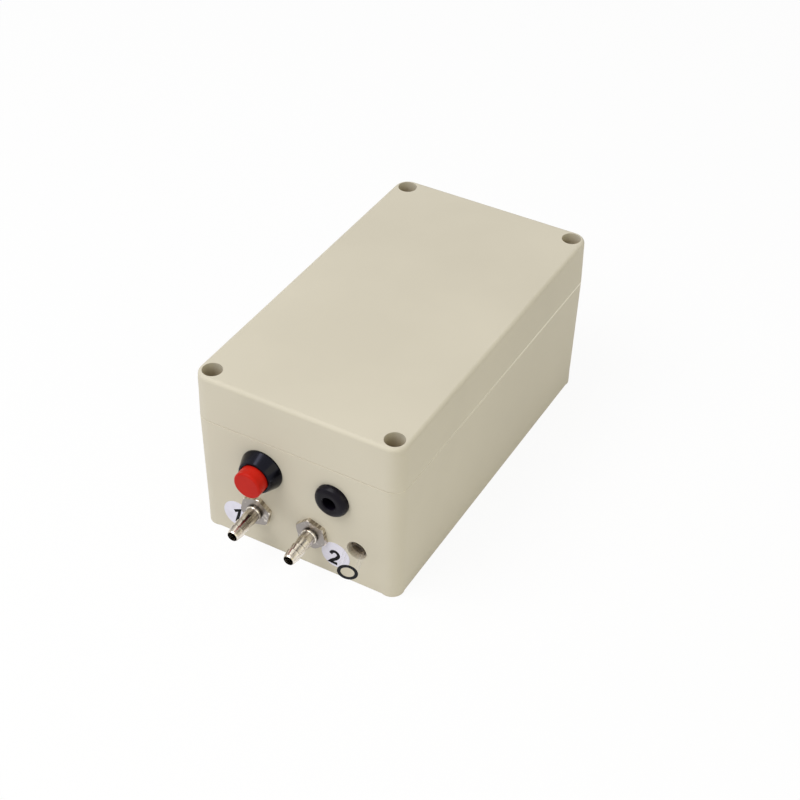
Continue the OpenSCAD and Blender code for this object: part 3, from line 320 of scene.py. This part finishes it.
shade = add(
    tree,
    "ShaderNodeMath",
    {0: cloud.outputs["Fac"], 1: cut_across.outputs["Result"]},
    operation="ADD",
)
tint = add(
    tree,
    "ShaderNodeValToRGB",
    {"Fac": shade.outputs[0]},
    [(0.36, "#8d8478"), (0.48, "#dcd4c7"), (0.66, "#f3ece1"), (0.88, "#9c9692")],
)
place = add(tree, "ShaderNodeSeparateXYZ", {"Vector": metres})
wrench_flats = add(
    tree,
    "ShaderNodeMapRange",
    {
        "Value": place.outputs["Y"],
        "From Min": HEX_FACE_Y * MM,
        "From Max": (HEX_FACE_Y + 0.15) * MM,
        "To Min": 0.3,
        "To Max": 1.0,
    },
)
# Painted shade: surfaces with near parts around them are darkened.
corners = add(tree, "ShaderNodeAmbientOcclusion", {"Distance": CORNER_MM * MM}, samples=8)
corner_shade = add(
    tree,
    "ShaderNodeMapRange",
    {
        "Value": corners.outputs["AO"],
        "From Min": 0.35,
        "From Max": 0.92,
        "To Min": wrench_flats.outputs["Result"],
    },
)
steps = add(
    tree,
    "ShaderNodeMapRange",
    {
        "Value": place.outputs["Y"],
        "From Min": OUTER_STEP_Y * MM,
        "From Max": MIDDLE_STEP_Y * MM,
        "To Min": 2.0,
        "To Max": 1.0,
    },
    clamp=False,
)
# The painted shadow lies in two narrow rings, at the panel's side of the middle and of the outer
# step. The hexagon, the plain length and the tip are more than 0.85 of a step from 1.35 and stay
# unshaded.
along_step = add(tree, "ShaderNodeMath", {0: steps.outputs["Result"]}, operation="FRACT")
behind = add(
    tree, "ShaderNodeMapRange", {"Value": along_step.outputs[0], "From Min": 0.8, "From Max": 0.92}
)
on_barb = add(
    tree, "ShaderNodeMath", {0: steps.outputs["Result"], 1: 1.35, 2: 0.85}, operation="COMPARE"
)
step_shadow = add(
    tree,
    "ShaderNodeMath",
    {0: behind.outputs["Result"], 1: on_barb.outputs[0]},
    operation="MULTIPLY",
)
step_unshaded = add(tree, "ShaderNodeMath", {0: step_shadow.outputs[0], 1: -0.6, 2: 1.0}, operation="MULTIPLY_ADD")
bright = add(
    tree, "ShaderNodeMath", {0: corner_shade.outputs["Result"], 1: step_unshaded.outputs[0]}, operation="MULTIPLY"
)
# The painted shade and shadow darken the nickel's tint.
shaded_tint = add(
    tree,
    "ShaderNodeMix",
    {0: bright.outputs[0], 6: linear("#2c2620"), 7: tint.outputs["Color"]},
    data_type="RGBA",
)
dull = add(
    tree, "ShaderNodeMapRange", {"Value": shade.outputs[0], "To Min": 0.06, "To Max": 0.36}
)
marks = add(tree, "ShaderNodeBump", {"Height": rings.outputs["Fac"], "Distance": 0.012 * MM})
tree.links.new(shaded_tint.outputs[2], shader.inputs["Base Color"])
tree.links.new(dull.outputs["Result"], shader.inputs["Roughness"])
tree.links.new(marks.outputs["Normal"], shader.inputs["Normal"])
dress(nickel_plate, "port_1_fitting", "port_2_fitting", "port_nuts")
dress(rubber, "port_washers")

# Port numbers. Round stickers of thin white paper, each with a digit printed in black, set
# beside the fittings and a little under them.

# Coated paper: white with a faint violet cast, nearly matt.
paper = finish("sticker_paper", ("#dcdae8", "#e4e2f0"), 3, (0.55, 0.68), 0.25, 0.004, IOR=1.4)
# Printing ink: flat black that soaks a little into the paper.
ink = finish("printed_ink", ("#050508", "#0b0b10"), 1, (0.5, 0.6), 0.2, 0.003, IOR=1.2)
dress(paper, "label_1", "label_2")

DRAFT = 1.04
PANEL_BOTTOM_Y = -80 + DRAFT
LEAN = math.atan(DRAFT / SEAM_Z)
PAPER_T = 0.12
INK_T = 0.02
STROKE = 1.45


def on_panel(x, z, out):
    """The point that lies out mm in front of the panel at x and z."""
    away = Vector((0, -math.cos(LEAN), -math.sin(LEAN)))
    return (Vector((x, PANEL_BOTTOM_Y - DRAFT * z / SEAM_Z, z)) + away * out) * MM


def rounded(points, steps=8):
    """A smooth line through points, for a curved pen stroke."""
    ends = [points[0]] + points + [points[-1]]
    line = []
    for a, b, c, d in zip(ends, ends[1:], ends[2:], ends[3:]):
        for step in range(steps):
            t = step / steps
            line.append(
                tuple(
                    0.5 * (2 * q + (r - p) * t + (2 * p - 5 * q + 4 * r - s) * t * t)
                    + 0.5 * (3 * q - p - 3 * r + s) * t**3
                    for p, q, r, s in zip(a, b, c, d)
                )
            )
    return line + [points[-1]]


def printed(name, line):
    """A pen stroke of even width along a line on the panel, a hair above the paper."""
    places = [Vector(point) for point in line]
    points, faces = [], []
    for i, place in enumerate(places):
        before = (place - places[i - 1]).normalized() if i else None
        after = (places[i + 1] - place).normalized() if i + 1 < len(places) else None
        before, after = before or after, after or before
        along = (before + after).normalized()
        side = Vector((-along.y, along.x)) * STROKE / 2 / max(along.dot(after), 0.5)
        for edge in (place + side, place - side):
            points.append(on_panel(edge.x, edge.y, PAPER_T + INK_T))
        if i:
            faces.append((2 * i - 2, 2 * i - 1, 2 * i + 1, 2 * i))
    mesh = bpy.data.meshes.new(name)
    mesh.from_pydata(points, [], faces)
    mesh.materials.append(ink)
    digit = bpy.data.objects.new(name, mesh)
    bpy.context.scene.collection.objects.link(digit)
    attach(digit, "case")


printed("printed_1", [(-29.13, 12.17), (-26.5, 13.56), (-28.4, 6.5)])
bow = [(14.83, 10.96), (15.72, 12.36), (17.12, 12.66), (18.07, 11.96), (18.31, 10.82)]
printed("printed_2", rounded(bow + [(17.36, 9.23), (15.74, 7.86), (14.62, 6.63)]) + [(17.7, 6.45)])

# Exhaust tube. Clear PVC hose cut square with a knife; it carries the pump's air out through
# a plain hole in the panel and droops a little.

# Clear soft PVC: almost unseen from the side, with a faint veil towards its outline. The length
# inside the panel carries painted light, a pale brown veil that stands for the light the tube
# scatters into the hole.
HOLE_LIGHT_ENDS_Y = -79.4
HOLE_LIGHT_FULL_Y = -78.4
clear_pvc, tree, shader, metres = new_material("clear_pvc")
shader.inputs["Roughness"].default_value = 0.12
shader.inputs["IOR"].default_value = 1.45
rim = add(tree, "ShaderNodeLayerWeight", {"Blend": 0.5})
veil = add(
    tree,
    "ShaderNodeMapRange",
    {"Value": rim.outputs["Facing"], "From Min": 0.4, "To Min": 0.0, "To Max": 0.2},
)
place = add(tree, "ShaderNodeSeparateXYZ", {"Vector": metres})
indoors = add(
    tree,
    "ShaderNodeMapRange",
    {"Value": place.outputs["Y"], "From Min": HOLE_LIGHT_ENDS_Y * MM, "From Max": HOLE_LIGHT_FULL_Y * MM},
)
# Painted light inside the panel, added to the veil at the outline.
veil_and_hole_light = add(
    tree,
    "ShaderNodeMath",
    {0: indoors.outputs["Result"], 1: 0.2, 2: veil.outputs["Result"]},
    operation="MULTIPLY_ADD",
)
hole_light_tint = add(
    tree,
    "ShaderNodeValToRGB",
    {"Fac": indoors.outputs["Result"]},
    [(0.0, "#e2e0e4"), (1.0, "#dac6ae")],
)
tree.links.new(hole_light_tint.outputs["Color"], shader.inputs["Base Color"])
tree.links.new(veil_and_hole_light.outputs[0], shader.inputs["Alpha"])
dress(clear_pvc, "exhaust_tube")

# A cut edge of clear PVC: seen end on it gathers the dark of the box, so it looks navy black; that
# dark is painted shade on a thin opaque ring laid over the tube's end.
cut_pvc = finish("cut_pvc_edge", ("#04060c", "#0a0d16"), 2, (0.25, 0.4), 0.3, 0.01, IOR=1.25)
TUBE_R = 4.05
BORE_R = 2.7
TIP = Vector((28.857, -90.13, 17.34))
TIP_AIM = Vector((0.2888, -0.9542, -0.0774)).normalized()
SIDES = 64


def circle(radius, out):
    """Points of a circle round the tube's end, out mm past it."""
    across = TIP_AIM.orthogonal().normalized()
    upward = TIP_AIM.cross(across)
    turns = [2 * math.pi * i / SIDES for i in range(SIDES)]
    return [
        (TIP + TIP_AIM * out + radius * (across * math.cos(a) + upward * math.sin(a))) * MM
        for a in turns
    ]


rounds = [circle(TUBE_R, -0.1), circle(TUBE_R, 0.05), circle(BORE_R, 0.05), circle(BORE_R, -0.1)]
edge_mesh = bpy.data.meshes.new("exhaust_cut_edge")
edge_mesh.from_pydata(
    [point for ring in rounds for point in ring],
    [],
    [
        (
            band * SIDES + i,
            band * SIDES + (i + 1) % SIDES,
            (band + 1) % 4 * SIDES + (i + 1) % SIDES,
            (band + 1) % 4 * SIDES + i,
        )
        for band in range(4)
        for i in range(SIDES)
    ],
)
edge_mesh.materials.append(cut_pvc)
cut_edge = bpy.data.objects.new("exhaust_cut_edge", edge_mesh)
bpy.context.scene.collection.objects.link(cut_edge)
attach(cut_edge, "case")

# Motor. A drawn steel can with ferrite magnets, a wound armature on a ground shaft in
# sintered bronze bearings, and a black nylon end cap with the brushes.

# Deep-drawn steel: smooth, cool grey, faintly streaked by the die.
motor_steel = finish(
    "drawn_motor_steel", ("#a3a8ac", "#b5babd"), 12, (0.28, 0.4), 0.3, 0.004, Metallic=1.0
)
# Glass-filled nylon: charcoal black, dull and a little speckled.
black_nylon = finish(
    "black_glass_nylon", ("#232528", "#2b2d31"), 6, (0.45, 0.6), 0.3, 0.012, IOR=1.53
)
# Fired ferrite: dark grey and stony.
ferrite = finish("fired_ferrite", ("#37373a", "#434347"), 2, (0.55, 0.7), 0.2, 0.01, IOR=1.7)
# Sintered bronze: brown-gold and porous, so without a clean shine.
bronze = finish("sintered_bronze", ("#b08440", "#c29652"), 1, (0.4, 0.55), 0.1, 0.01, Metallic=1.0)
# Pressed carbon: soft black-brown.
carbon = finish("pressed_carbon", ("#38342f", "#45413b"), 1, (0.45, 0.6), 0.1, 0.008, IOR=1.6)
dress(motor_steel, "motor_can")
dress(black_nylon, "motor_end_cap")
dress(ferrite, "motor_magnets")
dress(bronze, "motor_bearings")
dress(carbon, "motor_brushes")
dress(brass, "motor_terminals")
dress(bright_steel, "motor_shaft")
dress(copper, "motor_armature")
dress(zinc_plate, "motor_screws")

# Crank and diaphragm. A die-cast eccentric with its counterweight, a ball bearing, a moulded
# rod and a rubber diaphragm that a steel disc clamps to it.

# Die-cast zinc: grey metal, frosted by the die.
cast_alloy = finish(
    "die_cast_alloy", ("#8d9296", "#9ea3a6"), 3, (0.35, 0.5), 0.3, 0.012, Metallic=1.0
)
# Natural nylon: cream, with light going a little way in.
natural_nylon = finish(
    "natural_nylon",
    ("#e3ddcd", "#ece7d9"),
    8,
    (0.38, 0.5),
    0.4,
    0.01,
    IOR=1.53,
    Subsurface_Weight=0.15,
    Subsurface_Scale=0.002,
)
dress(cast_alloy, "crank_hub")
dress(bright_steel, "crank_bearing")
dress(natural_nylon, "connecting_rod", "valve_plate")
dress(rubber, "diaphragm", "valve_flaps", "foot_grommets", "motor_saddle")
dress(zinc_plate, "diaphragm_clamp", "cover_screws", "head_screws")
dress(black_nylon, "crankcase", "crankcase_cover", "pump_head")

# Solenoid valve. A moulded body with three barbs, a frame of folded strap round a copper
# winding, a steel plunger and its core, and a plug of open foam on the vent.

# Open-cell foam: dark grey-green, rough and without any shine.
foam = finish("open_foam", ("#474941", "#5a5c53"), 0.8, (0.8, 0.95), 0.5, 0.15, IOR=1.4)
# Enamelled copper wire, wound in close turns 0.4 mm apart: red-brown with dark lines between.
TURN_MM = 0.4
enamelled_wire, tree, shader, metres = new_material("enamelled_winding")
shader.inputs["Metallic"].default_value = 0.6
shader.inputs["Roughness"].default_value = 0.28
turns = add(
    tree,
    "ShaderNodeTexWave",
    {"Vector": metres, "Scale": math.pi / (10 * TURN_MM * MM), "Distortion": 0.3},
    wave_type="BANDS",
    bands_direction="Y",
)
tint = add(
    tree, "ShaderNodeValToRGB", {"Fac": turns.outputs["Fac"]}, [(0.1, "#6e3418"), (0.7, "#b9622c")]
)
lay = add(tree, "ShaderNodeBump", {"Height": turns.outputs["Fac"], "Distance": 0.1 * MM})
tree.links.new(tint.outputs["Color"], shader.inputs["Base Color"])
tree.links.new(lay.outputs["Normal"], shader.inputs["Normal"])
dress(enamelled_wire, "valve_winding")
dress(natural_nylon, "valve_body", "valve_bobbin", "tee_fitting")
dress(motor_steel, "valve_frame")
dress(bright_steel, "valve_plunger", "valve_core")
dress(spring_wire, "plunger_spring")
dress(foam, "vent_filter")
# The spring stands on the fixed core and gives way to the plunger.
shortening("plunger_spring")

# Hoses inside the box. Silicone rubber, cut square and pushed over the barbs.

# Silicone: milky, with light going well in and a soft waxy shine.
silicone = finish(
    "milky_silicone",
    ("#dfe2dc", "#e8eae5"),
    10,
    (0.3, 0.42),
    0.6,
    0.01,
    IOR=1.41,
    Subsurface_Weight=0.3,
    Subsurface_Scale=0.003,
)
dress(silicone, "silicone_hoses")

# Control board and its wires. Glass cloth laminate under green lacquer, with moulded parts
# soldered to it and wires in soft PVC from the switch, inlet, motor and valve.

# Solder lacquer: deep green and glossy, with the cloth just showing.
solder_mask = finish(
    "green_solder_mask", ("#215c38", "#2d6d45"), 1.2, (0.25, 0.4), 0.6, 0.01, IOR=1.55
)
# Moulded epoxy: near black, even and dull.
epoxy = finish(
    "moulded_epoxy", ("#22252b", "#2d3037"), 3, (0.4, 0.55), 0.3, 0.008, IOR=1.55
)
# PVC insulation: plain red with a waxy shine.
red_pvc = finish("red_pvc_insulation", ("#a3241f", "#b02d26"), 6, (0.35, 0.5), 0.5, 0.01, IOR=1.5)
dress(solder_mask, "control_board")
dress(epoxy, "board_components")
dress(red_pvc, "wiring")
dress(zinc_plate, "chassis_screws")

# Studio. A white floor that keeps a faint shadow, a white surround, one wide soft light high
# on the front left and a weak warm one on the right, and the camera of the photograph. Both
# floor and surround look white to the eye and light the object less than that.
SURROUND_LIGHT = 0.49
FLOOR_GLOW = 0.92


def background_rays(tree):
    """1 where the eye looks, straight or by way of gloss or glass, and 0 for plain light."""
    path = add(tree, "ShaderNodeLightPath")
    seen = add(
        tree,
        "ShaderNodeMath",
        {0: path.outputs["Is Camera Ray"], 1: path.outputs["Is Glossy Ray"]},
        operation="MAXIMUM",
    )
    return add(
        tree,
        "ShaderNodeMath",
        {0: seen.outputs[0], 1: path.outputs["Is Transmission Ray"]},
        operation="MAXIMUM",
    ).outputs[0]


world = bpy.data.worlds.new("studio_white")
world.use_nodes = True
bpy.context.scene.world = world
tree = world.node_tree
strength = add(
    tree,
    "ShaderNodeMapRange",
    {"Value": background_rays(tree), "To Min": SURROUND_LIGHT, "To Max": 1.0},
)
tree.nodes["Background"].inputs["Color"].default_value = linear("#ffffff")
tree.links.new(strength.outputs["Result"], tree.nodes["Background"].inputs["Strength"])

FLOOR = 3.0
floor_mesh = bpy.data.meshes.new("floor")
floor_mesh.from_pydata(
    [(-FLOOR, -FLOOR, 0), (FLOOR, -FLOOR, 0), (FLOOR, FLOOR, 0), (-FLOOR, FLOOR, 0)],
    [],
    [(0, 1, 2, 3)],
)
floor = bpy.data.objects.new("floor", floor_mesh)
bpy.context.scene.collection.objects.link(floor)
# Painted board: matt and nearly white.
floor_white, tree, shader, _ = new_material("white_sweep")
shader.inputs["Base Color"].default_value = linear("#f4f4f4")
shader.inputs["Roughness"].default_value = 0.9
glow = add(tree, "ShaderNodeEmission", {"Color": linear("#ffffff"), "Strength": 1.0})
share = add(
    tree, "ShaderNodeMath", {0: background_rays(tree), 1: FLOOR_GLOW}, operation="MULTIPLY"
)
both = add(
    tree,
    "ShaderNodeMixShader",
    {0: share.outputs[0], 1: shader.outputs["BSDF"], 2: glow.outputs["Emission"]},
)
tree.links.new(both.outputs["Shader"], tree.nodes["Material Output"].inputs["Surface"])
floor_mesh.materials.append(floor_white)


def softbox(name, place, aim, size, watts, colour):
    """A square soft light, its place, aim and size in metres and its colour linear."""
    light = bpy.data.lights.new(name, "AREA")
    light.color = colour
    light.shape = "SQUARE"
    light.size = size
    light.energy = watts
    lamp = bpy.data.objects.new(name, light)
    bpy.context.scene.collection.objects.link(lamp)
    lamp.location = place
    lamp.rotation_euler = (Vector(aim) - Vector(place)).to_track_quat("-Z", "Y").to_euler()


BOX_MIDDLE = (0, 0, 0.04)
softbox("key", (-0.35, -0.5, 1.05), BOX_MIDDLE, 0.8, 9, (1, 1, 1))
softbox("fill", (0.9, -0.3, 0.5), BOX_MIDDLE, 0.6, 1.25, (1, 0.9, 0.4))

# The camera was fitted to the corners of the box in the photograph, 800 pixels wide.
FRAME_PX = 800
FOCAL_PX = 1624.954
SENSOR_MM = 36
CAMERA_AT = Vector((249.325, -454.109, 450.808))
AZIMUTH, ELEVATION, ROLL = (math.radians(a) for a in (28.759, 39.465, -1.219))
back = Vector(
    (
        math.sin(AZIMUTH) * math.cos(ELEVATION),
        -math.cos(AZIMUTH) * math.cos(ELEVATION),
        math.sin(ELEVATION),
    )
)
level = Vector((0, 0, 1)).cross(back).normalized()
upright = back.cross(level)
right = level * math.cos(ROLL) - upright * math.sin(ROLL)
above = level * math.sin(ROLL) + upright * math.cos(ROLL)
camera_data = bpy.data.cameras.new("camera")
camera_data.sensor_width = SENSOR_MM
camera_data.lens = SENSOR_MM * FOCAL_PX / FRAME_PX
camera = bpy.data.objects.new("camera", camera_data)
bpy.context.scene.collection.objects.link(camera)
turn = Matrix((right, above, back)).transposed().to_4x4()
camera.matrix_world = Matrix.Translation(CAMERA_AT * MM) @ turn
bpy.context.scene.camera = camera
bpy.context.scene.view_settings.view_transform = "Standard"
